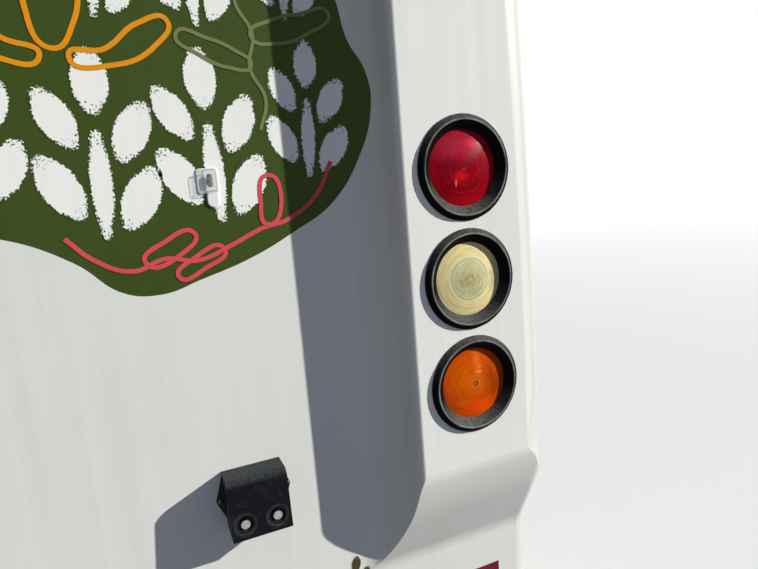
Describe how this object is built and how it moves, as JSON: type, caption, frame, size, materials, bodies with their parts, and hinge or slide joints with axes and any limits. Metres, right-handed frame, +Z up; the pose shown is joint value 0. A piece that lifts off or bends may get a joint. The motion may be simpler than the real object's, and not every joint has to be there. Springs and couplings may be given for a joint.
{
  "type": "shuttle bus rear end cap",
  "caption": "Moulded rear end cap of a shuttle bus with lamp columns, round lamps in rubber grommets, reversing sensors and a rear window.",
  "frame": {"origin": "middle of the lower run of the fixing flange, on its mating face", "axes": "+X to the vehicle's right, +Y forwards into the body, +Z up"},
  "size_m": [2.44, 0.269, 2.26],
  "materials": {
    "white_gelcoat": "satin white gelcoat",
    "raw_laminate": "glass laminate",
    "window_glass": "dark tint",
    "black_rubber": "matt",
    "black_plastic": "satin",
    "white_plastic": "satin",
    "lamp_body": "grey, bright bowl",
    "red_lens": "clear red",
    "amber_lens": "clear amber",
    "clear_lens": "clear",
    "sensor_disc": "satin"
  },
  "bodies": {
    "root": {"rear_skin": "white_gelcoat", "lower_stiffener": "raw_laminate", "middle_stiffener": "raw_laminate", "window_stiffener": "raw_laminate", "window_glass": "window_glass", "window_gasket": "black_rubber", "window_bead": "black_rubber", "right_stop_grommet": "black_rubber", "right_stop_lamp_body": "lamp_body", "right_stop_lens": "red_lens", "right_reverse_grommet": "black_rubber", "right_reverse_lamp_body": "lamp_body", "right_reverse_lens": "clear_lens", "right_turn_grommet": "black_rubber", "right_turn_lamp_body": "lamp_body", "right_turn_lens": "amber_lens", "right_sensor_housing": "black_plastic", "right_sensor_discs": "sensor_disc", "right_small_lamp_base": "white_plastic", "right_small_lamp_lens": "clear_lens", "left_stop_grommet": "black_rubber", "left_stop_lamp_body": "lamp_body", "left_stop_lens": "red_lens", "left_reverse_grommet": "black_rubber", "left_reverse_lamp_body": "lamp_body", "left_reverse_lens": "clear_lens", "left_turn_grommet": "black_rubber", "left_turn_lamp_body": "lamp_body", "left_turn_lens": "amber_lens", "left_sensor_housing": "black_plastic", "left_sensor_discs": "sensor_disc", "left_small_lamp_base": "white_plastic", "left_small_lamp_lens": "clear_lens", "left_clearance_base": "black_plastic", "left_clearance_lens": "red_lens", "left_marker_base": "black_plastic", "left_marker_lens": "red_lens", "middle_marker_base": "black_plastic", "middle_marker_lens": "red_lens", "right_marker_base": "black_plastic", "right_marker_lens": "red_lens", "right_clearance_base": "black_plastic", "right_clearance_lens": "red_lens"}
  },
  "joints": []
}
